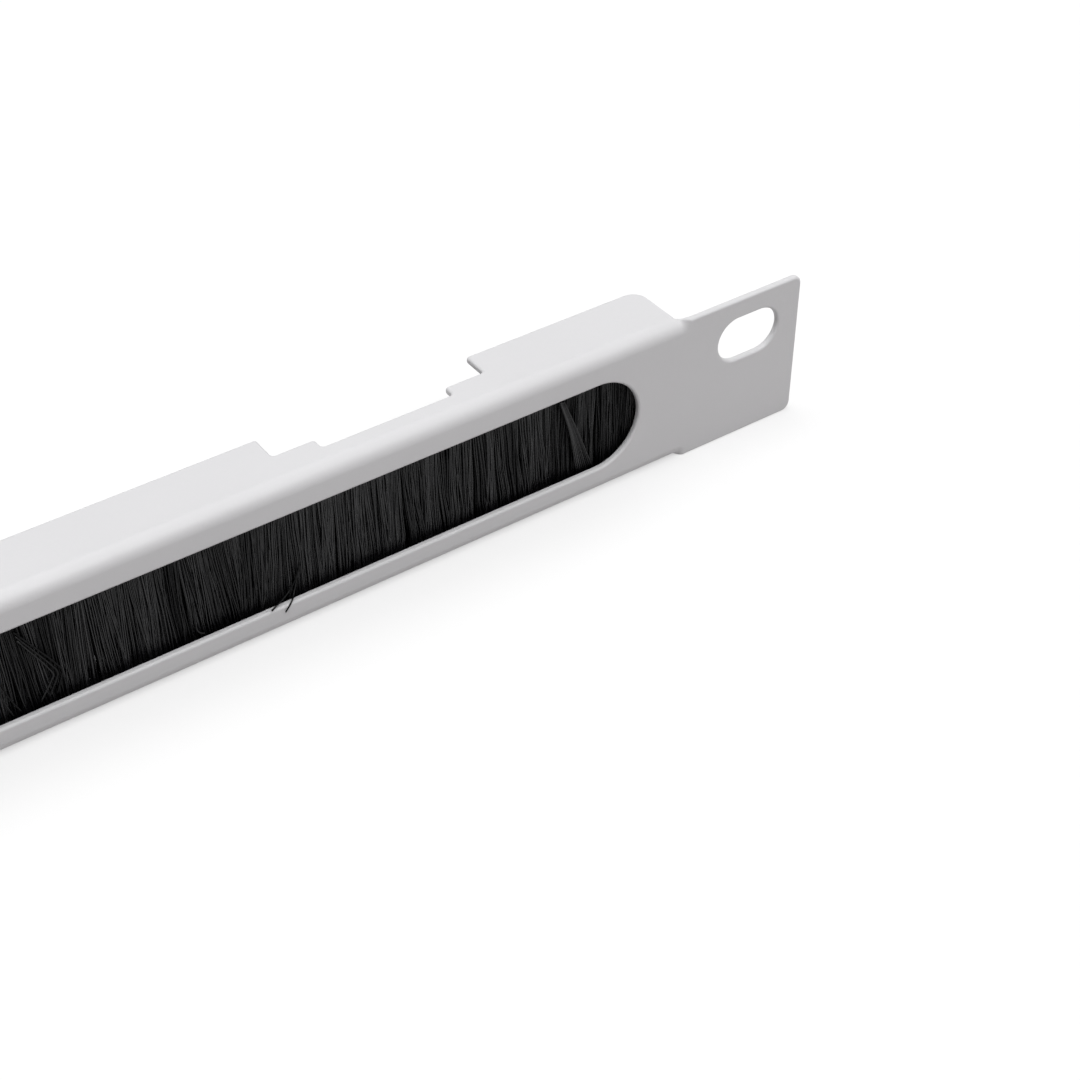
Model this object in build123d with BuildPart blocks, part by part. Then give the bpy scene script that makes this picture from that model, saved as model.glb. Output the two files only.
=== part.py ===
"""Half-unit rack cable entry panel: a folded steel sheet with a long slot closed by a strip brush.

Millimetres. X runs along the panel, +Y goes back into the rack and +Z is up. The origin lies midway between
the two ear holes, on the rear face of the ears, which bears on the rack rails.
"""
import math
import os

from build123d import *

# Sheet and folds
sheet = 1.0
inner_bend = 1.0
edge_break = 0.25
panel_width = 482.6
panel_height = 22.0
flange_depth = 9.8
flange_corner = 2.2

# Ears that bear on the rack rails
ear_width = 20.3
ear_corner = 1.3
run_out = 1.6
run_out_turn = 72
hole_to_end = 8.75
hole_drop = 6.24
hole_width = 6.5
hole_length = 10.1

# Cable slot in the front wall
slot_upper_border = 4.57
slot_lower_border = 4.08
slot_end_border = 6.55

# Stepped notches in the rear edge of the upper flange
notch_to_flange_end = 42.15
notch_width = 30.0
notch_depth = 4.0
inner_notch_width = 18.5
inner_notch_depth = 5.8
notch_corner = 0.5

# Strip brush: bristles folded over a wire and crimped in a channel
strip_overlap = 3.0
channel_sheet = 0.5
channel_inside = 2.4
channel_height = 4.2
channel_corner = 0.5
crimp_height = 1.2
crimp_inset = 0.5
brush_fit = 0.1
wire_diameter = 1.0
wire_fit = 0.05
wire_drop = 1.2

# Bristle tufts
tuft_pitch = 3.6
tuft_gap = 0.3
tip_width = 2.7
tip_thickness = 1.9
tip_clearance = 0.3
tip_raggedness = 0.6
tip_sway = 0.2
rise_turn = 1.7
sway_turn = 2.4
ridges_per_tuft = 3
ridge_height = 0.16

# Levels and lengths that follow from the sizes above
outer_bend = inner_bend + sheet
top = hole_drop
bottom = top - panel_height
upper_fold = top - outer_bend
lower_fold = bottom + outer_bend
half_width = panel_width / 2
flange_half = half_width - ear_width
flange_rear = flange_depth - sheet
slot_height = panel_height - slot_upper_border - slot_lower_border
slot_half = flange_half - slot_end_border
slot_middle = top - slot_upper_border - slot_height / 2
brush_length = 2 * (slot_half + strip_overlap)
hole_half_spacing = half_width - hole_to_end
notch_middle = flange_half - notch_to_flange_end
brush_middle = channel_sheet + channel_inside / 2
inside_top = top - sheet - channel_sheet
mouth = top - sheet - channel_height
root_thickness = channel_inside - 2 * (crimp_inset + brush_fit)
wire_level = inside_top - wire_drop
tip_level = bottom + sheet + tip_clearance


def brush_outline(inset):
    """Draws the crimped outline inside the channel, from the front of its mouth over the top and down again."""
    front = channel_sheet + inset
    rear = channel_sheet + channel_inside - inset
    crimp = mouth + crimp_height
    return FilletPolyline(
        (front + crimp_inset, mouth),
        (front, crimp),
        (front, inside_top - inset),
        (rear, inside_top - inset),
        (rear, crimp),
        (rear - crimp_inset, mouth),
        radius=channel_corner,
    )


def tuft_outline(width, thickness):
    """Lists the corners of one tuft's section, with ridges along its front and its rear."""
    steps = 2 * ridges_per_tuft
    front = []
    for step in range(steps + 1):
        valley = ridge_height if step % 2 == 0 else 0
        front.append((width * (step / steps - 0.5), -thickness / 2 + valley))
    rear = [(-x, -y) for x, y in front]
    return front + rear


# Panel: one folded sheet
with BuildPart() as panel:
    # Front wall with a flange folded back along its top and its bottom
    with BuildSketch(Plane.YZ):
        with BuildLine():
            outside = FilletPolyline(
                (flange_rear, top),
                (-sheet, top),
                (-sheet, bottom),
                (flange_rear, bottom),
                radius=outer_bend,
            )
            offset(outside, amount=sheet, side=Side.LEFT)
        make_face()
    extrude(amount=flange_half, both=True)
    flange_ends = panel.edges().filter_by(Axis.Z).group_by(Axis.Y)[-1]
    fillet(flange_ends, radius=flange_corner)

    # Flat ears beside the folds
    with BuildSketch(Plane.XZ):
        with BuildLine():
            Polyline(
                (flange_half, lower_fold),
                (flange_half + run_out, lower_fold),
                (flange_half + run_out, bottom),
                (half_width, bottom),
                (half_width, top),
                (flange_half + run_out, top),
                (flange_half + run_out, upper_fold),
                (flange_half, upper_fold),
                close=True,
            )
        ear = make_face()
        fillet(ear.vertices().group_by(Axis.X)[-1], radius=ear_corner)
        mirror(about=Plane.YZ)
    extrude(amount=sheet)

    # Corners where each fold runs out into the flat of an ear
    with BuildSketch(Plane.YZ.offset(flange_half), mode=Mode.PRIVATE) as rolled:
        with BuildLine():
            outer = CenterArc((inner_bend, upper_fold), outer_bend, 180 - run_out_turn, run_out_turn)
            inner = CenterArc((inner_bend, upper_fold), inner_bend, 180 - run_out_turn, run_out_turn)
            Line(outer @ 0, inner @ 0)
            Line(outer @ 1, inner @ 1)
        make_face()
    with BuildSketch(Plane.YZ.offset(flange_half + run_out), mode=Mode.PRIVATE) as flat:
        with BuildLine():
            Polyline((-sheet, upper_fold), (-sheet, top), (0, top), (0, upper_fold), close=True)
        make_face()
    upper_corner = loft([rolled.sketch, flat.sketch], ruled=True, mode=Mode.PRIVATE)
    half_height = Plane.XY.offset((top + bottom) / 2)
    lower_corner = mirror(upper_corner, about=half_height, mode=Mode.PRIVATE)
    add([upper_corner, lower_corner])
    mirror([upper_corner, lower_corner], about=Plane.YZ)

    # Cable slot and the oblong ear holes
    with BuildSketch(Plane.XZ):
        with Locations((0, slot_middle)):
            SlotOverall(2 * slot_half, slot_height)
        with Locations((-hole_half_spacing, 0), (hole_half_spacing, 0)):
            SlotOverall(hole_length, hole_width)
    extrude(amount=sheet, mode=Mode.SUBTRACT)

    # Stepped notches in the upper flange
    with BuildSketch(Plane.XY.offset(top)) as notches:
        with Locations((-notch_middle, flange_rear), (notch_middle, flange_rear)):
            Rectangle(notch_width, 2 * notch_depth)
            Rectangle(inner_notch_width, 2 * inner_notch_depth)
        inside = notches.vertices().filter_by(lambda corner: corner.Y < flange_rear)
        fillet(inside, radius=notch_corner)
    extrude(amount=-sheet, mode=Mode.SUBTRACT)

    # Broken edges round the slot and the ear holes
    walls = panel.faces().filter_by(Axis.Y).group_by(Axis.Y)
    rims = [rim for wall in walls[0] + walls[1] for rim in wall.inner_wires()]
    chamfer([edge for rim in rims for edge in rim.edges()], length=edge_break)

panel.part.label = "panel"

# Channel: a narrow strip folded over the brush and crimped at its mouth
with BuildPart() as brush_channel:
    with BuildSketch(Plane.YZ):
        with BuildLine():
            inside = brush_outline(0)
            offset(inside, amount=channel_sheet, side=Side.LEFT)
        make_face()
    extrude(amount=brush_length / 2, both=True)
brush_channel.part.label = "brush_channel"

# Wire that the bristles are folded over
with BuildPart() as core_wire:
    with BuildSketch(Plane.YZ):
        with Locations((brush_middle, wire_level)):
            Circle(wire_diameter / 2)
    extrude(amount=brush_length / 2, both=True)
core_wire.part.label = "core_wire"

# Bristles: the folded root inside the channel and a row of tufts that hangs from it
tuft_count = int(brush_length / tuft_pitch)
tuft_spacing = brush_length / tuft_count
with BuildPart() as bristles:
    with BuildSketch(Plane.YZ):
        with BuildLine():
            fold = brush_outline(brush_fit)
            Line(fold @ 0, fold @ 1)
        make_face()
        with Locations((brush_middle, wire_level)):
            Circle(wire_diameter / 2 + wire_fit, mode=Mode.SUBTRACT)
    extrude(amount=brush_length / 2, both=True)

    tufts = []
    for number in range(tuft_count):
        middle = (number + 0.5) * tuft_spacing - brush_length / 2
        sway = tip_sway * math.sin(sway_turn * number)
        rise = tip_raggedness * (1 + math.sin(rise_turn * number)) / 2
        with BuildSketch(Plane((middle, brush_middle, mouth)), mode=Mode.PRIVATE) as root:
            Polygon(*tuft_outline(tuft_spacing - tuft_gap, root_thickness), align=None)
        with BuildSketch(Plane((middle + sway, brush_middle, tip_level + rise)), mode=Mode.PRIVATE) as tip:
            Polygon(*tuft_outline(tip_width, tip_thickness), align=None)
        tufts.append(loft([root.sketch, tip.sketch], ruled=True, mode=Mode.PRIVATE))
    add(tufts)
bristles.part.label = "bristles"

os.makedirs("parts", exist_ok=True)
export_step(panel.part, "parts/panel.step")
export_step(brush_channel.part, "parts/brush_channel.step")
export_step(core_wire.part, "parts/core_wire.step")
export_step(bristles.part, "parts/bristles.step")
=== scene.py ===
"""Dresses the frame of a half-unit rack cable entry panel: folded sheet, strip brush and stage.

Metres, in the frame of the CAD: X runs along the panel, +Y goes back into the rack and +Z is up.
"""
import math

import bmesh
import bpy
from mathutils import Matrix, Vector


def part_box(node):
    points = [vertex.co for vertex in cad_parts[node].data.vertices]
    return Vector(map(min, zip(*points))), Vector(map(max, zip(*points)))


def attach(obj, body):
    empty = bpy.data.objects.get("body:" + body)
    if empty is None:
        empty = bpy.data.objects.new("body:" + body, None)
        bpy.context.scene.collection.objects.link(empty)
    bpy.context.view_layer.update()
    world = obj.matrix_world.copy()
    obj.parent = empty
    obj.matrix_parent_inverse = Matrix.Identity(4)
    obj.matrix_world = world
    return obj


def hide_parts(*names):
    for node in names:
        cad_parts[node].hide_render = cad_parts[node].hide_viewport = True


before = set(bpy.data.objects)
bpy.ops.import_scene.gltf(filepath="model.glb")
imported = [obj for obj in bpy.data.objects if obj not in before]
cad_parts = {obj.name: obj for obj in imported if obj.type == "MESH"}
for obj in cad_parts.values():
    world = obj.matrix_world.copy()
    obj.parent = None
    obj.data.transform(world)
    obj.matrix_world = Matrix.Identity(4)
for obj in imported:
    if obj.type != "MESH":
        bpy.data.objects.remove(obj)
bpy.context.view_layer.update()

bl_info = {
    "name": "Rack cable entry panel",
    "version": (1, 0, 0),
    "blender": (4, 5, 0),
    "location": "3D View > Sidebar > Cable Panel",
    "description": "Folds the powder-coated sheet, plants the strip brush and sets the stage",
    "category": "Object",
}

MM = 0.001
PANEL_LOW, PANEL_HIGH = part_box("panel")
STRIP_LOW, STRIP_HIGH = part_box("brush_channel")
WIRE_LOW, WIRE_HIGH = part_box("core_wire")

# Distances under which points of a mesh count as one, or as level with the flat of the sheet
BLANK_WELD = 0.002 * MM
FINE_WELD = 0.001 * MM
FLAT_MARGIN = 0.0001 * MM

# Steps round the corners of the blank and round the ends of the slot and the holes
CORNER_STEPS = 6
SLOT_END_STEPS = 40
HOLE_END_STEPS = 28

# Least radius of a crisp corner of the blank, in edge roundings, so that the rounding fits inside it
CRISP_CORNER = 1.15

# Fineness of the patterns in the finishes and in the row of bristles, in cells for each metre
COAT_PEEL = 1100.0
COAT_WAVES = 380.0
COAT_GRAIN = 5200.0
COAT_CLOUDS = 70.0
NYLON_STREAKS = 2600.0
METAL_LINES = 2400.0
METAL_SPANGLE = 420.0
CLUMP_CHANGE = 260.0
LEAN_CHANGE = 95.0
WAVE_CHANGE = 620.0

# Steps along half a filament: from the top of its fold to the channel's mouth, and from there to the tip
FOLD_STEPS = 2
LEG_STEPS = 4
HALF_STEPS = FOLD_STEPS + LEG_STEPS

# Numbers that keep the random draws of the filaments apart
PLACE_DRAW = 0
LAYER_DRAW = 1
GRIP_DRAW = 2
STRAY_DRAW = 3
WANDER_DRAW = 4
CUT_DRAW = 5
TONE_DRAW = 6
TURN_DRAW = 7
BUNCH_DRAW = 8

# Bundles that stand out of the row: filaments, tone, and the paths of the first and the last filament in
# millimetres, or of the only one
STRAY_BUNDLES = (
    (
        3, 0.5,
        ((128.2, 0.7, -0.2), (132.3, 0.4, -7.3), (132.6, 0.3, -8.1), (132.4, 0.3, -8.9), (131.4, 0.3, -11.4)),
        ((128.4, 0.7, -1.6), (131.3, 0.4, -7.5), (131.5, 0.3, -8.2), (131.2, 0.3, -8.8), (129.4, 0.3, -11.4)),
    ),
    (
        2, 0.5,
        ((125.3, 0.7, -4.7), (125.9, 0.3, -8.6), (127.0, 0.1, -11.5)),
        ((125.0, 0.7, -4.7), (125.2, 0.3, -8.6), (126.0, 0.1, -11.7)),
    ),
    (1, 0.5, ((149.7, 0.6, -7.3), (149.5, 0.3, -9.6), (149.6, 0.1, -11.0), (150.3, 0.0, -11.5)), ()),
    (1, 0.8, ((164.0, 0.6, -7.9), (162.3, 0.2, -10.5), (158.8, -1.1, -11.5)), ()),
    (1, 0.8, ((163.5, 0.6, -9.3), (162.4, -0.1, -11.3), (161.7, -0.9, -11.5), (160.6, -1.15, -12.6)), ()),
    (
        9, 0.4,
        ((202.8, 0.7, 0.1), (204.1, 0.4, -4.8), (205.4, 0.4, -12.6)),
        ((203.4, 0.7, 0.1), (205.4, 0.3, -5.4), (208.0, 0.3, -12.6)),
    ),
)


def length(name, description, default):
    """Declares a length that the user may change."""
    return bpy.props.FloatProperty(
        name=name, description=description, default=default, unit="LENGTH", subtype="DISTANCE", precision=5
    )


def share(name, description, default):
    """Declares a plain number or a share of one."""
    return bpy.props.FloatProperty(name=name, description=description, default=default, precision=3)


def angle(name, description, degrees):
    """Declares an angle that the user may change."""
    return bpy.props.FloatProperty(
        name=name, description=description, default=math.radians(degrees), unit="ROTATION", subtype="ANGLE"
    )


def colour(name, description, default):
    """Declares a colour that the user may change."""
    return bpy.props.FloatVectorProperty(
        name=name, description=description, default=default, size=4, min=0.0, max=1.0, subtype="COLOR"
    )


class PanelSheetSettings(bpy.types.PropertyGroup):
    """Sizes and finish of the folded sheet."""

    sheet: length("Sheet", "Thickness of the steel sheet", -PANEL_LOW.y)
    inner_bend: length("Inner bend", "Radius inside the folds", 1.0 * MM)
    edge_round: length("Edge rounding", "Radius that the coat gives to cut edges", 0.4 * MM)
    flange_corner: length("Flange corner", "Radius of the flanges' rear corners", 2.2 * MM)
    ear_width: length("Ear width", "Length of the flat ear beside the flanges", 20.3 * MM)
    ear_corner: length("Ear corner", "Radius of the ears' outer corners", 1.3 * MM)
    ear_crook: length("Ear crook", "Radius where a flange's end meets an ear", 0.2 * MM)
    crook_rise: length("Crook rise", "How far beyond the ear's edge the blank is cut at the crook", 0.85 * MM)
    run_out: length("Run-out", "Length over which a fold flattens into an ear", 1.6 * MM)
    hole_to_end: length("Hole to end", "From the middle of an ear hole to the panel's end", 8.75 * MM)
    hole_width: length("Hole width", "Height of the oblong ear hole", 6.5 * MM)
    hole_length: length("Hole length", "Length of the oblong ear hole", 10.1 * MM)
    slot_upper_border: length("Border over the slot", "From the top of the panel to the slot", 4.65 * MM)
    slot_lower_border: length("Border under the slot", "From the bottom of the panel to the slot", 4.0 * MM)
    slot_end_border: length("Border beside the slot", "From a flange's end to the slot's end", 6.63 * MM)
    notch_to_flange_end: length(
        "Notch to flange end", "From a notch's middle to the flange's end", 42.15 * MM
    )
    notch_width: length("Notch width", "Width of the shallow step of a notch", 30.0 * MM)
    notch_depth: length("Notch depth", "Depth of the shallow step of a notch", 4.0 * MM)
    inner_notch_width: length("Inner notch width", "Width of the deep step of a notch", 18.5 * MM)
    inner_notch_depth: length("Inner notch depth", "Depth of the deep step of a notch", 5.8 * MM)
    notch_corner: length("Notch corner", "Radius of a notch's corners", 0.5 * MM)
    bend_steps: bpy.props.IntProperty(name="Bend steps", description="Facets in each fold", default=10, min=3)
    coat: colour("Powder coat", "Colour of the light grey coat", (0.664, 0.660, 0.672, 1.0))


class BrushSettings(bpy.types.PropertyGroup):
    """Sizes and finish of the strip brush."""

    filament: length("Filament", "Diameter of one nylon filament", 0.22 * MM)
    filaments: bpy.props.IntProperty(
        name="Filaments", description="Folded filaments in each length of the row", default=2200, min=10
    )
    lengths: bpy.props.IntProperty(
        name="Lengths", description="Lengths that the row is planted in", default=5, min=1
    )
    root_thickness: length("Root thickness", "Thickness of the row at the channel's mouth", 1.15 * MM)
    tip_thickness: length("Tip thickness", "Thickness of the row at its tips", 2.5 * MM)
    front_tips: length("Front tips", "Level of the shorter tips at the front", -14.4 * MM)
    rear_tips: length("Rear tips", "Level of the longer tips at the rear", -14.7 * MM)
    raggedness: length("Raggedness", "How much the filaments differ in length", 0.9 * MM)
    clump_width: length("Clump width", "Usual width of a clump of filaments", 1.9 * MM)
    clump_pull: share("Clump pull", "How far the tips gather in clumps", 0.5)
    lean: length("Lean", "How far neighbouring tips lean sideways together", 1.7 * MM)
    spread: length("Spread", "How far single tips stray sideways", 1.7 * MM)
    ruffle: length("Ruffle", "How far the filaments wave", 1.1 * MM)
    seed: bpy.props.IntProperty(name="Seed", description="Start of the random draws", default=7)
    nylon_dark: colour("Dark nylon", "Colour of the darkest filaments", (0.0013, 0.0013, 0.0016, 1.0))
    nylon_light: colour("Light nylon", "Colour of the lightest filaments", (0.0105, 0.0102, 0.0116, 1.0))
    stray_mix: share("Stray mix", "How much the tones in a stray bundle differ", 0.7)
    zinc: colour("Zinc plate", "Colour of the channel that holds the brush", (0.56, 0.57, 0.58, 1.0))
    wire: colour("Wire", "Colour of the wire inside the channel", (0.5, 0.5, 0.5, 1.0))


class StageSettings(bpy.types.PropertyGroup):
    """Camera, floor and light."""

    camera_place: bpy.props.FloatVectorProperty(
        name="Camera place", description="Where the camera stands", default=(0.083212, -0.16541, 0.148399),
        size=3, unit="LENGTH", subtype="TRANSLATION", precision=5,
    )
    camera_heading: angle("Camera heading", "Turn of the view from straight back to the right", 35.035)
    camera_pitch: angle("Camera pitch", "Tilt of the view below the horizon", 39.889)
    camera_lens: bpy.props.FloatProperty(
        name="Lens", description="Focal length on a 36 mm sensor", default=65.885, unit="CAMERA"
    )
    floor_white: colour("Floor", "Colour of the floor as the camera sees it", (0.93, 0.93, 0.93, 1.0))
    floor_glow: share("Floor glow", "Share of the seen floor that is white without light", 0.5)
    floor_bounce: colour(
        "Floor bounce", "Colour of the light that the floor throws back", (0.45, 0.435, 0.435, 1.0)
    )
    sky_low: share("Sky at the horizon", "Strength of the light from the sides", 0.03)
    sky_high: share("Sky overhead", "Strength of the light from straight above", 0.8)
    lamp: share("Overhead lamp", "Strength of the broad lamp overhead", 1.5)
    lamp_spread: angle("Overhead spread", "Apparent size of the broad lamp overhead", 60.0)
    lamp_tilt: angle("Overhead tilt", "Tilt of the broad lamp from straight overhead", 12.0)
    lamp_heading: angle(
        "Overhead heading", "Place of the broad lamp, turned from the front to the right", -135.0
    )
    front_lamp: share("Front lamp", "Strength of the lamp in front", 1.28)
    front_spread: angle("Front spread", "Apparent size of the lamp in front", 32.0)
    front_tilt: angle("Front tilt", "Tilt of the lamp in front from straight overhead", 36.0)
    front_heading: angle("Front heading", "Place of the lamp in front, turned to the right", 10.0)


class NodeDesk:
    """Places nodes in one tree and joins them, so that a formula reads as one."""

    def __init__(self, tree):
        self.tree = tree

    def place(self, kind, **settings):
        """Adds a node with these settings."""
        node = self.tree.nodes.new(kind)
        for name, value in settings.items():
            setattr(node, name, value)
        return node

    def feed(self, socket, value):
        """Joins a socket to another node's output, or sets it to a plain value."""
        if isinstance(value, bpy.types.NodeSocket):
            self.tree.links.new(value, socket)
        else:
            socket.default_value = value

    def math(self, operation, first, second=0.0, third=0.0):
        """Adds one step of arithmetic."""
        node = self.place("ShaderNodeMath", operation=operation)
        for socket, value in zip(node.inputs, (first, second, third)):
            self.feed(socket, value)
        return node.outputs[0]

    def add(self, *terms):
        """Adds up all the terms."""
        total = terms[0]
        for term in terms[1:]:
            total = self.math("ADD", total, term)
        return total

    def times(self, *factors):
        """Multiplies all the factors."""
        product = factors[0]
        for factor in factors[1:]:
            product = self.math("MULTIPLY", product, factor)
        return product

    def less(self, first, second):
        """Takes the second from the first."""
        return self.math("SUBTRACT", first, second)

    def clamp(self, value):
        """Holds a value between 0 and 1."""
        node = self.place("ShaderNodeClamp")
        self.feed(node.inputs["Value"], value)
        return node.outputs[0]

    def spread(self, value, low, high, to_low, to_high):
        """Maps a range of values to another range."""
        node = self.place("ShaderNodeMapRange")
        for name, number in (
            ("Value", value), ("From Min", low), ("From Max", high), ("To Min", to_low), ("To Max", to_high),
        ):
            self.feed(node.inputs[name], number)
        return node.outputs[0]

    def vector(self, x, y, z):
        """Joins three numbers into a vector."""
        node = self.place("ShaderNodeCombineXYZ")
        for socket, value in zip(node.inputs, (x, y, z)):
            self.feed(socket, value)
        return node.outputs[0]

    def noise(self, place, scale, detail=0.0, roughness=0.5):
        """Adds a soft random pattern."""
        node = self.place("ShaderNodeTexNoise")
        for name, value in (
            ("Vector", place), ("Scale", scale), ("Detail", detail), ("Roughness", roughness),
        ):
            self.feed(node.inputs[name], value)
        return node.outputs["Fac"]

    def seen(self):
        """Gives 1 on rays from the camera, straight, mirrored or let through, and 0 on the others."""
        rays = self.place("ShaderNodeLightPath").outputs
        bent = self.math("MAXIMUM", rays["Is Glossy Ray"], rays["Is Transmission Ray"])
        return self.math("MAXIMUM", rays["Is Camera Ray"], bent)


def new_finish(name):
    """Starts a material and gives its desk and its shader."""
    material = bpy.data.materials.new(name)
    material.use_nodes = True
    desk = NodeDesk(material.node_tree)
    return material, desk, material.node_tree.nodes["Principled BSDF"]


def two_tones(desk, amount, dark, light):
    """Mixes two colours by an amount."""
    ramp = desk.place("ShaderNodeValToRGB")
    ramp.color_ramp.elements[0].color = dark
    ramp.color_ramp.elements[1].color = light
    desk.feed(ramp.inputs["Fac"], amount)
    return ramp.outputs["Color"]


def toned(tint, factor):
    """Gives a lighter or darker copy of a colour."""
    return tuple(part * factor for part in tint[:3]) + (1.0,)


def raise_surface(desk, shader, height, depth, strength):
    """Gives the shader a fine relief of this depth."""
    bump = desk.place("ShaderNodeBump")
    desk.feed(bump.inputs["Height"], height)
    bump.inputs["Distance"].default_value = depth
    bump.inputs["Strength"].default_value = strength
    desk.feed(shader.inputs["Normal"], bump.outputs["Normal"])


def powder_coat_finish(settings):
    """Light grey powder coat: satin, with a fine orange peel and faint clouds."""
    material, desk, shader = new_finish("light_grey_powder_coat")
    place = desk.place("ShaderNodeTexCoord").outputs["Object"]
    peel = desk.noise(place, COAT_PEEL, 2.0)
    waves = desk.noise(place, COAT_WAVES, 1.0)
    grain = desk.noise(place, COAT_GRAIN, 1.0)
    clouds = desk.noise(place, COAT_CLOUDS, 3.0)
    tone = desk.add(desk.times(clouds, 0.6), desk.times(grain, 0.4))
    tint = two_tones(desk, tone, toned(settings.coat, 0.96), toned(settings.coat, 1.04))
    desk.feed(shader.inputs["Base Color"], tint)
    desk.feed(shader.inputs["Roughness"], desk.spread(peel, 0.3, 0.7, 0.40, 0.52))
    relief = desk.add(peel, desk.times(waves, 2.0), desk.times(grain, 0.25))
    raise_surface(desk, shader, relief, 0.03 * MM, 0.5)
    return material


def nylon_finish(settings):
    """Black nylon: each filament has its own tone, with a soft sheen along it."""
    material, desk, shader = new_finish("black_nylon_filament")
    tone = desk.place("ShaderNodeAttribute", attribute_name="filament_tone").outputs["Fac"]
    place = desk.place("ShaderNodeTexCoord").outputs["Object"]
    streaks = desk.noise(place, NYLON_STREAKS, 1.0)
    shade = desk.add(desk.times(tone, 0.8), desk.times(streaks, 0.2))
    desk.feed(shader.inputs["Specular IOR Level"], desk.spread(shade, 0.2, 0.8, 0.1, 0.46))
    desk.feed(shader.inputs["Base Color"], two_tones(desk, shade, settings.nylon_dark, settings.nylon_light))
    desk.feed(shader.inputs["Roughness"], desk.spread(streaks, 0.3, 0.7, 0.24, 0.4))
    raise_surface(desk, shader, streaks, 0.01 * MM, 0.3)
    return material


def rolled_metal_finish(name, tint, roughness):
    """Bare metal with fine drawing lines along the strip."""
    material, desk, shader = new_finish(name)
    place = desk.place("ShaderNodeTexCoord").outputs["Object"]
    along = desk.place("ShaderNodeMapping")
    desk.feed(along.inputs["Vector"], place)
    along.inputs["Scale"].default_value = (0.04, 1.0, 1.0)
    lines = desk.noise(along.outputs["Vector"], METAL_LINES, 3.0)
    spangle = desk.noise(place, METAL_SPANGLE, 2.0)
    tone = desk.add(desk.times(lines, 0.6), desk.times(spangle, 0.4))
    shader.inputs["Metallic"].default_value = 1.0
    desk.feed(shader.inputs["Base Color"], two_tones(desk, tone, toned(tint, 0.85), toned(tint, 1.1)))
    desk.feed(shader.inputs["Roughness"], desk.spread(tone, 0.3, 0.7, roughness - 0.07, roughness + 0.08))
    raise_surface(desk, shader, lines, 0.008 * MM, 0.4)
    return material


def link_new(name, data):
    """Puts a new object into the scene, at the origin."""
    piece = bpy.data.objects.new(name, data)
    bpy.context.scene.collection.objects.link(piece)
    return piece


def plain_mesh(piece, name):
    """Gives the evaluated shape of an object as a mesh of its own."""
    depsgraph = bpy.context.evaluated_depsgraph_get()
    mesh = bpy.data.meshes.new_from_object(piece.evaluated_get(depsgraph), depsgraph=depsgraph)
    mesh.name = name
    return mesh


def discard(piece):
    """Takes an object that has done its work out of the scene."""
    bpy.data.objects.remove(piece)


def arc(middle, radius, start, sweep, steps):
    """Lists points along an arc, from its start angle through its sweep."""
    points = []
    for step in range(steps + 1):
        turn = start + sweep * step / steps
        points.append((middle[0] + radius * math.cos(turn), middle[1] + radius * math.sin(turn)))
    return points


def rounded_outline(corners, steps):
    """Lists the points of a closed outline of corners (x, y, radius)."""
    points = []
    for number, (x, y, radius) in enumerate(corners):
        corner = Vector((x, y))
        before = (Vector(corners[number - 1][:2]) - corner).normalized()
        after = (Vector(corners[(number + 1) % len(corners)][:2]) - corner).normalized()
        half = before.angle(after) / 2
        middle = corner + (before + after).normalized() * radius / math.sin(half)
        reach = radius / math.tan(half)
        start = corner + before * reach - middle
        end = corner + after * reach - middle
        first = math.atan2(start.y, start.x)
        sweep = math.remainder(math.atan2(end.y, end.x) - first, 2 * math.pi)
        points.extend(arc(middle, radius, first, sweep, steps))
    return points


def oblong_outline(middle, overall, width, steps):
    """Lists the points of a slot with round ends."""
    reach = (overall - width) / 2
    right = arc((middle[0] + reach, middle[1]), width / 2, -math.pi / 2, math.pi, steps)
    left = arc((middle[0] - reach, middle[1]), width / 2, math.pi / 2, math.pi, steps)
    return right + left


class FoldedSheet:
    """Levels of the panel's blank, and the folding of it."""

    def __init__(self, sizes):
        self.sheet = sizes.sheet
        self.bend = sizes.inner_bend + sizes.sheet
        self.run_out = sizes.run_out
        self.front = PANEL_LOW.y
        self.top = PANEL_HIGH.z
        self.bottom = PANEL_LOW.z
        self.half_width = PANEL_HIGH.x
        self.flange_half = self.half_width - sizes.ear_width
        self.upper_fold = self.top - self.bend
        self.lower_fold = self.bottom + self.bend
        self.arc_length = self.bend * math.pi / 2
        self.flat_flange = PANEL_HIGH.y - self.front - self.bend

    def flange_level(self, cut):
        """Gives how far up the blank an edge of the upper flange lies that is cut back from its rear."""
        return self.upper_fold + self.arc_length + self.flat_flange - cut

    def place(self, point):
        """Gives the folded place of a point of the blank."""
        depth = self.sheet / 2 - point.z
        flat = Vector((point.x, self.front + depth, point.y))
        upper = point.y > self.upper_fold
        past = point.y - self.upper_fold if upper else self.lower_fold - point.y
        if past <= 0:
            return flat
        turn = min(past / self.bend, math.pi / 2)
        radius = self.bend - depth
        back = self.front + self.bend - radius * math.cos(turn) + max(past - self.arc_length, 0.0)
        rise = radius * math.sin(turn)
        height = self.upper_fold + rise if upper else self.lower_fold - rise
        beside = min(max((abs(point.x) - self.flange_half) / self.run_out, 0.0), 1.0)
        return Vector((point.x, back, height)).lerp(flat, beside * beside * (3 - 2 * beside))

    def turned(self, point, normal):
        """Turns a normal of the blank the way the sheet lies at a point."""
        step = 0.01 * MM
        along = self.place(point + Vector((step, 0, 0))) - self.place(point - Vector((step, 0, 0)))
        up = self.place(point + Vector((0, step, 0))) - self.place(point - Vector((0, step, 0)))
        along.normalize()
        out = along.cross(up).normalized()
        return along * normal.x + out.cross(along) * normal.y + out * normal.z


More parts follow.
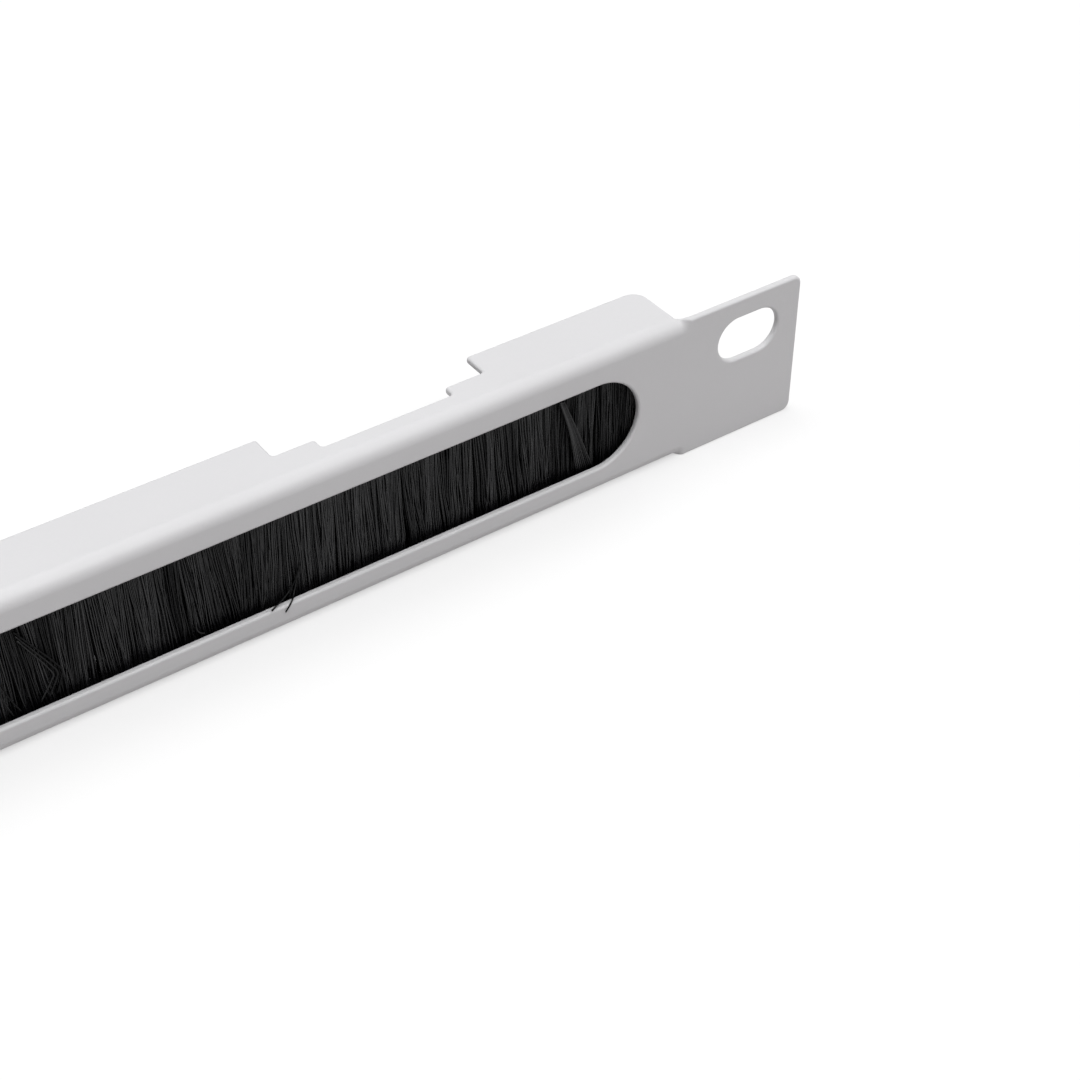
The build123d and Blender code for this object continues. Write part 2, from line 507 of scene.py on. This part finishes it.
def panel_blank_outlines(sizes, sheet):
    """Lists the outlines of the flat blank: its edge, the slot and the ear holes."""
    rear = sheet.flange_level(0)
    shallow = sheet.flange_level(sizes.notch_depth)
    deep = sheet.flange_level(sizes.inner_notch_depth)
    lower_rear = sheet.lower_fold + sheet.upper_fold - rear
    notch = sheet.flange_half - sizes.notch_to_flange_end
    wide = sizes.notch_width / 2
    narrow = sizes.inner_notch_width / 2
    crisp = sizes.edge_round * CRISP_CORNER
    soft = sizes.notch_corner
    right_half = [
        (notch - wide, rear, crisp),
        (notch - wide, shallow, soft),
        (notch - narrow, shallow, crisp),
        (notch - narrow, deep, soft),
        (notch + narrow, deep, soft),
        (notch + narrow, shallow, crisp),
        (notch + wide, shallow, soft),
        (notch + wide, rear, crisp),
        (sheet.flange_half, rear, sizes.flange_corner),
        (sheet.flange_half, sheet.top + sizes.crook_rise, sizes.ear_crook),
        (sheet.flange_half + sizes.run_out, sheet.top, sizes.ear_crook),
        (sheet.half_width, sheet.top, sizes.ear_corner),
        (sheet.half_width, sheet.bottom, sizes.ear_corner),
        (sheet.flange_half + sizes.run_out, sheet.bottom, sizes.ear_crook),
        (sheet.flange_half, sheet.bottom - sizes.crook_rise, sizes.ear_crook),
        (sheet.flange_half, lower_rear, sizes.flange_corner),
    ]
    left_half = [(-x, y, radius) for x, y, radius in reversed(right_half)]
    slot_top = sheet.top - sizes.slot_upper_border
    slot_bottom = sheet.bottom + sizes.slot_lower_border
    slot_reach = 2 * (sheet.flange_half - sizes.slot_end_border)
    slot_middle = (0, (slot_top + slot_bottom) / 2)
    outlines = [rounded_outline(right_half + left_half, CORNER_STEPS)]
    outlines.append(oblong_outline(slot_middle, slot_reach, slot_top - slot_bottom, SLOT_END_STEPS))
    for side in (-1, 1):
        middle = (side * (sheet.half_width - sizes.hole_to_end), 0)
        outlines.append(oblong_outline(middle, sizes.hole_length, sizes.hole_width, HOLE_END_STEPS))
    return outlines


def on_flat_side(vertex, sizes):
    """Tells whether a point of the blank lies on one of its two flat sides."""
    return abs(vertex.co.z) > sizes.sheet / 2 - FLAT_MARGIN


def cut_blank(sizes, sheet):
    """Cuts the flat blank with coated, rounded edges, and scores it where it is folded."""
    outline = bpy.data.curves.new("panel_blank", "CURVE")
    outline.dimensions = "2D"
    outline.fill_mode = "BOTH"
    outline.extrude = sizes.sheet / 2 - sizes.edge_round
    outline.bevel_depth = sizes.edge_round
    outline.bevel_resolution = 3
    outline.offset = -sizes.edge_round
    for points in panel_blank_outlines(sizes, sheet):
        spline = outline.splines.new("POLY")
        spline.points.add(len(points) - 1)
        for point, (x, y) in zip(spline.points, points):
            point.co = (x, y, 0, 1)
        spline.use_cyclic_u = True
    drawing = link_new("panel_blank", outline)
    mesh = plain_mesh(drawing, "panel_sheet")
    discard(drawing)
    blank = bmesh.new()
    blank.from_mesh(mesh)
    bmesh.ops.remove_doubles(blank, verts=blank.verts, dist=BLANK_WELD)
    bmesh.ops.recalc_face_normals(blank, faces=blank.faces)

    # The fill leaves slivers without area in the flat sides
    flats = {face for face in blank.faces if all(on_flat_side(vertex, sizes) for vertex in face.verts)}
    seams = [edge for edge in blank.edges if all(face in flats for face in edge.link_faces)]
    bmesh.ops.beautify_fill(blank, faces=list(flats), edges=seams)

    # Rows across the folds and across their run-outs beside the ears
    cuts = []
    for step in range(sizes.bend_steps + 1):
        past = sheet.arc_length * step / sizes.bend_steps
        cuts.append(((0, sheet.upper_fold + past, 0), (0, 1, 0)))
        cuts.append(((0, sheet.lower_fold - past, 0), (0, 1, 0)))
    for step in range(sizes.bend_steps + 1):
        reach = sheet.flange_half + sheet.run_out * step / sizes.bend_steps
        cuts.append(((reach, 0, 0), (1, 0, 0)))
        cuts.append(((-reach, 0, 0), (1, 0, 0)))
    for place, across in cuts:
        everything = blank.verts[:] + blank.edges[:] + blank.faces[:]
        bmesh.ops.bisect_plane(blank, geom=everything, dist=FINE_WELD, plane_co=place, plane_no=across)
    blank.normal_update()
    return mesh, blank


def blank_normal(vertex, sizes):
    """Gives the normal of the flat side that a point lies on, or else of the cut wall or the rounded edge."""
    if on_flat_side(vertex, sizes):
        return Vector((0, 0, math.copysign(1, vertex.co.z)))
    faces = vertex.link_faces
    walls = [face for face in faces if abs(face.normal.z) < 0.001]
    total = Vector()
    for face in walls or faces:
        corner = next(loop for loop in face.loops if loop.vert == vertex)
        total += face.normal * corner.calc_angle()
    return total.normalized()


class RACKPANEL_OT_fold_panel_sheet(bpy.types.Operator):
    """Cut the blank of the panel, round its edges and fold its flanges back"""

    bl_idname = "rackpanel.fold_panel_sheet"
    bl_label = "Fold the panel sheet"

    def execute(self, context):
        sizes = context.scene.panel_sheet
        sheet = FoldedSheet(sizes)
        mesh, blank = cut_blank(sizes, sheet)
        normals = [sheet.turned(vertex.co, blank_normal(vertex, sizes)) for vertex in blank.verts]
        for vertex in blank.verts:
            vertex.co = sheet.place(vertex.co)
        loose = [edge for edge in blank.edges if not edge.is_manifold]
        if loose:
            raise RuntimeError(f"the panel sheet is open along {len(loose)} edges")
        blank.to_mesh(mesh)
        blank.free()
        for face in mesh.polygons:
            face.use_smooth = True
        mesh.normals_split_custom_set_from_vertices(normals)
        mesh.materials.clear()
        mesh.materials.append(powder_coat_finish(sizes))
        piece = link_new("panel_sheet", mesh)
        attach(piece, "root")
        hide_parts("panel")
        return {"FINISHED"}


class RACKPANEL_OT_finish_brush_holder(bpy.types.Operator):
    """Give the crimped channel and the wire inside it their bare metal"""

    bl_idname = "rackpanel.finish_brush_holder"
    bl_label = "Finish the brush holder"

    def execute(self, context):
        brush = context.scene.strip_brush
        for node, finish in (
            ("brush_channel", rolled_metal_finish("zinc_plated_strip", brush.zinc, 0.38)),
            ("core_wire", rolled_metal_finish("drawn_steel_wire", brush.wire, 0.3)),
        ):
            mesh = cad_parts[node].data
            mesh.materials.clear()
            mesh.materials.append(finish)
        return {"FINISHED"}


def filament_tree():
    """Builds the nodes that plant a row of filaments, each folded over the wire into two legs."""
    tree = bpy.data.node_groups.new("folded_filaments", "GeometryNodeTree")
    tree.interface.new_socket(name="Geometry", in_out="OUTPUT", socket_type="NodeSocketGeometry")
    for name, kind in (
        ("Filaments", "Int"), ("Start", "Float"), ("End", "Float"),
        ("Wire level", "Float"), ("Wire radius", "Float"), ("Mouth level", "Float"), ("Middle", "Float"),
        ("Root thickness", "Float"), ("Tip thickness", "Float"),
        ("Front tips", "Float"), ("Rear tips", "Float"), ("Raggedness", "Float"),
        ("Clump width", "Float"), ("Clump pull", "Float"),
        ("Lean", "Float"), ("Spread", "Float"), ("Ruffle", "Float"),
        ("Filament radius", "Float"), ("Seed", "Int"), ("Nylon", "Material"),
    ):
        tree.interface.new_socket(name=name, in_out="INPUT", socket_type="NodeSocket" + kind)
    desk = NodeDesk(tree)
    given = desk.place("NodeGroupInput").outputs

    # One straight filament, copied as often as the row needs
    line = desk.place("GeometryNodeCurvePrimitiveLine")
    resample = desk.place("GeometryNodeResampleCurve")
    resample.inputs["Count"].default_value = 2 * HALF_STEPS + 1
    desk.feed(resample.inputs["Curve"], line.outputs["Curve"])
    copies = desk.place("GeometryNodeDuplicateElements", domain="SPLINE")
    desk.feed(copies.inputs["Geometry"], resample.outputs["Curve"])
    desk.feed(copies.inputs["Amount"], given["Filaments"])
    number = copies.outputs["Duplicate Index"]

    def draw(identity, step, low=0.0, high=1.0):
        """Adds one random draw for each filament or leg."""
        node = desk.place("FunctionNodeRandomValue", data_type="FLOAT")
        desk.feed(node.inputs[2], low)
        desk.feed(node.inputs[3], high)
        desk.feed(node.inputs["ID"], identity)
        desk.feed(node.inputs["Seed"], desk.math("ADD", given["Seed"], float(step)))
        return node.outputs[1]

    # Along a filament: which leg it is, how far round the fold and how far down the leg
    factor = desk.place("GeometryNodeSplineParameter").outputs["Factor"]
    behind = desk.math("GREATER_THAN", factor, 0.5)
    side = desk.less(desk.times(behind, 2.0), 1.0)
    reach = desk.math("ABSOLUTE", desk.less(desk.times(factor, 2.0), 1.0))
    fold = desk.clamp(desk.times(reach, HALF_STEPS / FOLD_STEPS))
    to_wire = desk.clamp(desk.times(fold, 2.0))
    to_mouth = desk.clamp(desk.less(desk.times(fold, 2.0), 1.0))
    down = desk.clamp(desk.times(desk.less(reach, FOLD_STEPS / HALF_STEPS), HALF_STEPS / LEG_STEPS))
    leg = desk.add(desk.times(number, 2.0), behind)

    # Place of the filament in the row
    width = desk.less(given["End"], given["Start"])
    across = desk.math("DIVIDE", desk.add(number, draw(number, PLACE_DRAW)), given["Filaments"])
    root_x = desk.add(given["Start"], desk.times(across, width))
    layer = draw(number, LAYER_DRAW)
    along = desk.vector(root_x, desk.times(side, 0.4), 0.0)

    # Sideways: neighbours gather in clumps of uneven width and lean together, single filaments stray and wave
    shift = desk.times(desk.noise(along, CLUMP_CHANGE, 1.0), 3.0)
    clump = desk.math("FLOOR", desk.add(desk.math("DIVIDE", root_x, given["Clump width"]), shift))
    clump_x = desk.times(desk.less(desk.add(clump, 0.5), shift), given["Clump width"])
    grip = desk.times(given["Clump pull"], draw(leg, GRIP_DRAW, 0.3, 1.0), down, down)
    gather = desk.times(desk.less(clump_x, root_x), grip)
    lean = desk.times(desk.less(desk.noise(along, LEAN_CHANGE, 2.0), 0.5), 3.0, given["Lean"], down)
    bunch = desk.add(desk.times(clump, 2.0), behind)
    turn = desk.times(draw(bunch, TURN_DRAW, -0.5, 0.5), given["Lean"], down)
    stray = desk.times(draw(leg, STRAY_DRAW, -0.5, 0.5), given["Spread"], down)

    # The row waves more towards its ends, and its rear legs close the gaps that the front ones open
    unrest = desk.spread(desk.math("ABSOLUTE", root_x), 0.6 * WIRE_HIGH.x, WIRE_HIGH.x, 0.35, 1.5)
    wave_place = desk.vector(
        desk.times(root_x, WAVE_CHANGE),
        desk.times(down, 1.7),
        desk.add(desk.times(side, 5.0), layer),
    )
    wave = desk.times(desk.less(desk.noise(wave_place, 1.0, 1.0), 0.5), 2.0, given["Ruffle"], unrest, down)
    calm = desk.less(1.0, desk.times(behind, 0.75))
    x = desk.add(root_x, desk.times(desk.add(gather, lean, turn, wave), calm), stray)

    # Front to back: round the wire, through the mouth and out to the tips
    thickness = desk.add(desk.times(given["Filament radius"], 1.5), desk.times(layer, 0.4 * MM))
    wrap = desk.add(given["Wire radius"], thickness)
    mouth_half = desk.times(given["Root thickness"], desk.add(desk.times(layer, 0.42), 0.08))
    tip_half = desk.times(given["Tip thickness"], desk.add(desk.times(layer, 0.46), 0.04))
    half = desk.add(
        desk.times(wrap, to_wire),
        desk.times(desk.less(mouth_half, wrap), to_mouth),
        desk.times(desk.less(tip_half, mouth_half), down),
    )
    wander = desk.times(draw(leg, WANDER_DRAW, -0.2, 0.2), MM, down)
    y = desk.add(given["Middle"], desk.times(side, half), wander)

    # Height: over the wire, down through the mouth and on to ragged tips
    crown = desk.add(given["Wire level"], wrap)
    mouth = desk.add(given["Mouth level"], 0.3 * MM)
    short = draw(leg, CUT_DRAW)
    tip_base = desk.add(
        desk.times(given["Front tips"], desk.less(1.0, behind)),
        desk.times(given["Rear tips"], behind),
    )
    uneven_cut = desk.times(short, short, short, given["Raggedness"])
    tip = desk.add(tip_base, desk.times(uneven_cut, desk.less(1.0, desk.times(behind, 0.7))))
    z = desk.add(
        crown,
        desk.times(desk.less(given["Wire level"], crown), to_wire),
        desk.times(desk.less(mouth, given["Wire level"]), to_mouth),
        desk.times(desk.less(tip, mouth), down),
    )

    # Bent filaments, each with a tone that is partly its bunch's and partly its own
    bend = desk.place("GeometryNodeSetPosition")
    desk.feed(bend.inputs["Geometry"], copies.outputs["Geometry"])
    desk.feed(bend.inputs["Position"], desk.vector(x, y, z))
    tone = desk.place("GeometryNodeStoreNamedAttribute", data_type="FLOAT", domain="POINT")
    tone.inputs["Name"].default_value = "filament_tone"
    desk.feed(tone.inputs["Geometry"], bend.outputs["Geometry"])
    bunch_tone = desk.times(draw(bunch, BUNCH_DRAW), 0.65)
    own_tone = desk.times(draw(leg, TONE_DRAW), 0.35)
    desk.feed(tone.inputs["Value"], desk.add(bunch_tone, own_tone))

    # Three-sided filaments with smooth sides look round at their size
    ring = desk.place("GeometryNodeCurvePrimitiveCircle")
    ring.inputs["Resolution"].default_value = 3
    desk.feed(ring.inputs["Radius"], given["Filament radius"])
    tube = desk.place("GeometryNodeCurveToMesh")
    tube.inputs["Fill Caps"].default_value = True
    desk.feed(tube.inputs["Curve"], tone.outputs["Geometry"])
    desk.feed(tube.inputs["Profile Curve"], ring.outputs["Curve"])
    whole = desk.place("GeometryNodeRealizeInstances")
    desk.feed(whole.inputs["Geometry"], tube.outputs["Mesh"])
    dyed = desk.place("GeometryNodeSetMaterial")
    desk.feed(dyed.inputs["Geometry"], whole.outputs["Geometry"])
    desk.feed(dyed.inputs["Material"], given["Nylon"])
    desk.feed(desk.place("NodeGroupOutput").inputs["Geometry"], dyed.outputs["Geometry"])
    return tree


def grown_piece(name, tree, values):
    """Makes a plain mesh piece from a tree of nodes and the values for its inputs."""
    bed = link_new(name + "_bed", bpy.data.meshes.new(name + "_bed"))
    modifier = bed.modifiers.new("grow", "NODES")
    modifier.node_group = tree
    for socket in tree.interface.items_tree:
        if socket.in_out == "INPUT":
            modifier[socket.identifier] = values[socket.name]
    mesh = plain_mesh(bed, name)
    discard(bed)
    if not mesh.polygons:
        raise RuntimeError(f"{name} came out empty")
    return link_new(name, mesh)


class RACKPANEL_OT_plant_bristles(bpy.types.Operator):
    """Fold the nylon filaments over the wire, in several lengths of the row"""

    bl_idname = "rackpanel.plant_bristles"
    bl_label = "Plant the bristles"

    def execute(self, context):
        brush = context.scene.strip_brush
        nylon = nylon_finish(brush)
        tree = filament_tree()
        part = (STRIP_HIGH.x - STRIP_LOW.x) / brush.lengths
        for number in range(brush.lengths):
            piece = grown_piece(f"bristles_{number + 1}", tree, {
                "Filaments": brush.filaments,
                "Start": STRIP_LOW.x + part * number,
                "End": STRIP_LOW.x + part * (number + 1),
                "Wire level": (WIRE_LOW.z + WIRE_HIGH.z) / 2,
                "Wire radius": (WIRE_HIGH.z - WIRE_LOW.z) / 2,
                "Mouth level": STRIP_LOW.z,
                "Middle": (STRIP_LOW.y + STRIP_HIGH.y) / 2,
                "Root thickness": brush.root_thickness,
                "Tip thickness": brush.tip_thickness,
                "Front tips": brush.front_tips,
                "Rear tips": brush.rear_tips,
                "Raggedness": brush.raggedness,
                "Clump width": brush.clump_width,
                "Clump pull": brush.clump_pull,
                "Lean": brush.lean,
                "Spread": brush.spread,
                "Ruffle": brush.ruffle,
                "Filament radius": brush.filament / 2,
                "Seed": brush.seed + 10 * number,
                "Nylon": nylon,
            })
            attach(piece, "root")
            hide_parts("bristles")
        return {"FINISHED"}


def joined_islands(mesh):
    """Closes the seams of a mesh, numbers its separate pieces and gives the number of each point."""
    shape = bmesh.new()
    shape.from_mesh(mesh)
    bmesh.ops.remove_doubles(shape, verts=shape.verts, dist=FINE_WELD)
    shape.verts.index_update()
    shape.to_mesh(mesh)
    islands = [-1] * len(shape.verts)
    count = 0
    for start in shape.verts:
        if islands[start.index] >= 0:
            continue
        islands[start.index] = count
        reached = [start]
        while reached:
            vertex = reached.pop()
            for edge in vertex.link_edges:
                other = edge.other_vert(vertex)
                if islands[other.index] < 0:
                    islands[other.index] = count
                    reached.append(other)
        count += 1
    shape.free()
    return islands


class RACKPANEL_OT_bend_stray_bristles(bpy.types.Operator):
    """Bend single filaments out of the row, the same at both ends of the panel"""

    bl_idname = "rackpanel.bend_stray_bristles"
    bl_label = "Bend the stray bristles"

    def execute(self, context):
        brush = context.scene.strip_brush
        drawing = bpy.data.curves.new("stray_bristles", "CURVE")
        drawing.dimensions = "3D"
        drawing.bevel_depth = brush.filament / 2
        drawing.bevel_resolution = 1
        drawing.resolution_u = 6
        drawing.use_fill_caps = True
        tones = []
        for side in (1, -1):
            for filaments, tone, first, last in STRAY_BUNDLES:
                for number in range(filaments):
                    part = number / max(filaments - 1, 1)
                    tones.append(tone * (1.0 - brush.stray_mix * (number % 3) / 2))
                    spline = drawing.splines.new("BEZIER")
                    spline.bezier_points.add(len(first) - 1)
                    for point, start, end in zip(spline.bezier_points, first, last or first):
                        place = Vector(start).lerp(Vector(end), part) * MM
                        point.co = (side * place.x, place.y, place.z)
                        point.handle_left_type = "AUTO"
                        point.handle_right_type = "AUTO"
        bed = link_new("stray_bristles_bed", drawing)
        mesh = plain_mesh(bed, "stray_bristles")
        discard(bed)
        pieces = joined_islands(mesh)
        if max(pieces) + 1 != len(tones):
            raise RuntimeError("the stray bristles ran together")
        dye = mesh.attributes.new("filament_tone", "FLOAT", "POINT")
        dye.data.foreach_set("value", [tones[piece] for piece in pieces])
        mesh.materials.clear()
        mesh.materials.append(bpy.data.materials["black_nylon_filament"])
        piece = link_new("stray_bristles", mesh)
        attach(piece, "root")
        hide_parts("bristles")
        return {"FINISHED"}


def pale_floor_finish(stage):
    """Pale floor that throws back less light than the camera sees on it."""
    material, desk, shader = new_finish("pale_floor")
    seen = desk.seen()
    shader.inputs["Roughness"].default_value = 0.9
    shader.inputs["Specular IOR Level"].default_value = 0.0
    shader.inputs["Emission Color"].default_value = (1.0, 1.0, 1.0, 1.0)
    tint = two_tones(desk, seen, stage.floor_bounce, toned(stage.floor_white, 1.0 - stage.floor_glow))
    desk.feed(shader.inputs["Base Color"], tint)
    desk.feed(shader.inputs["Emission Strength"], desk.times(seen, stage.floor_glow))
    return material


class RACKPANEL_OT_set_stage(bpy.types.Operator):
    """Lay the pale floor, hang the two lamps and stand the camera"""

    bl_idname = "rackpanel.set_stage"
    bl_label = "Set the stage"

    def execute(self, context):
        stage = context.scene.panel_stage
        scene = context.scene
        scene.view_settings.view_transform = "Standard"

        # Floor under the panel
        reach = 6.0
        level = PANEL_LOW.z
        corners = [
            (-reach, -reach, level),
            (reach, -reach, level),
            (reach, reach, level),
            (-reach, reach, level),
        ]
        mesh = bpy.data.meshes.new("floor")
        mesh.from_pydata(corners, [], [(0, 1, 2, 3)])
        mesh.materials.append(pale_floor_finish(stage))
        link_new("floor", mesh)

        # Sky: white where it is seen, plain soft light elsewhere
        world = bpy.data.worlds.new("studio")
        world.use_nodes = True
        scene.world = world
        desk = NodeDesk(world.node_tree)
        backdrop = world.node_tree.nodes["Background"]
        backdrop.inputs["Color"].default_value = (1.0, 1.0, 1.0, 1.0)
        split = desk.place("ShaderNodeSeparateXYZ")
        desk.feed(split.inputs["Vector"], desk.place("ShaderNodeTexCoord").outputs["Generated"])
        height = desk.math("POWER", desk.clamp(split.outputs["Z"]), 3.0)
        glow = desk.spread(height, 0.0, 1.0, stage.sky_low, stage.sky_high)
        desk.feed(backdrop.inputs["Strength"], desk.math("MAXIMUM", desk.seen(), glow))

        # Broad lamp overhead and a smaller one in front
        for name, strength, spread, tilt, heading in (
            ("overhead_lamp", stage.lamp, stage.lamp_spread, stage.lamp_tilt, stage.lamp_heading),
            ("front_lamp", stage.front_lamp, stage.front_spread, stage.front_tilt, stage.front_heading),
        ):
            lamp = bpy.data.lights.new(name, "SUN")
            lamp.energy = strength
            lamp.angle = spread
            hung = link_new(name, lamp)
            hung.rotation_euler = (tilt, 0.0, heading)

        # Camera
        camera = bpy.data.cameras.new("camera")
        camera.sensor_width = 36.0
        camera.lens = stage.camera_lens
        camera.clip_start = 0.005
        camera.clip_end = 50.0
        stand = link_new("camera", camera)
        stand.location = stage.camera_place
        stand.rotation_euler = (math.pi / 2 - stage.camera_pitch, 0.0, -stage.camera_heading)
        scene.camera = stand
        return {"FINISHED"}


class RACKPANEL_PT_cable_panel(bpy.types.Panel):
    """Lists the sizes, the colours and the steps of the cable panel"""

    bl_label = "Cable Panel"
    bl_idname = "RACKPANEL_PT_cable_panel"
    bl_space_type = "VIEW_3D"
    bl_region_type = "UI"
    bl_category = "Cable Panel"

    def draw(self, context):
        scene = context.scene
        for settings, steps in (
            (scene.panel_sheet, ("rackpanel.fold_panel_sheet",)),
            (scene.strip_brush, (
                "rackpanel.finish_brush_holder", "rackpanel.plant_bristles", "rackpanel.bend_stray_bristles",
            )),
            (scene.panel_stage, ("rackpanel.set_stage",)),
        ):
            box = self.layout.box()
            for name in settings.__annotations__:
                box.prop(settings, name)
            for step in steps:
                box.operator(step)


CLASSES = (
    PanelSheetSettings,
    BrushSettings,
    StageSettings,
    RACKPANEL_OT_fold_panel_sheet,
    RACKPANEL_OT_finish_brush_holder,
    RACKPANEL_OT_plant_bristles,
    RACKPANEL_OT_bend_stray_bristles,
    RACKPANEL_OT_set_stage,
    RACKPANEL_PT_cable_panel,
)


def register():
    """Registers the classes and hangs their settings on the scene."""
    for cls in CLASSES:
        bpy.utils.register_class(cls)
    bpy.types.Scene.panel_sheet = bpy.props.PointerProperty(type=PanelSheetSettings)
    bpy.types.Scene.strip_brush = bpy.props.PointerProperty(type=BrushSettings)
    bpy.types.Scene.panel_stage = bpy.props.PointerProperty(type=StageSettings)


def unregister():
    """Takes the settings off the scene and drops the classes."""
    del bpy.types.Scene.panel_stage
    del bpy.types.Scene.strip_brush
    del bpy.types.Scene.panel_sheet
    for cls in reversed(CLASSES):
        bpy.utils.unregister_class(cls)


def main():
    """Builds every piece in order."""
    register()
    bpy.ops.rackpanel.fold_panel_sheet()
    bpy.ops.rackpanel.finish_brush_holder()
    bpy.ops.rackpanel.plant_bristles()
    bpy.ops.rackpanel.bend_stray_bristles()
    bpy.ops.rackpanel.set_stage()


if __name__ == "__main__":
    main()
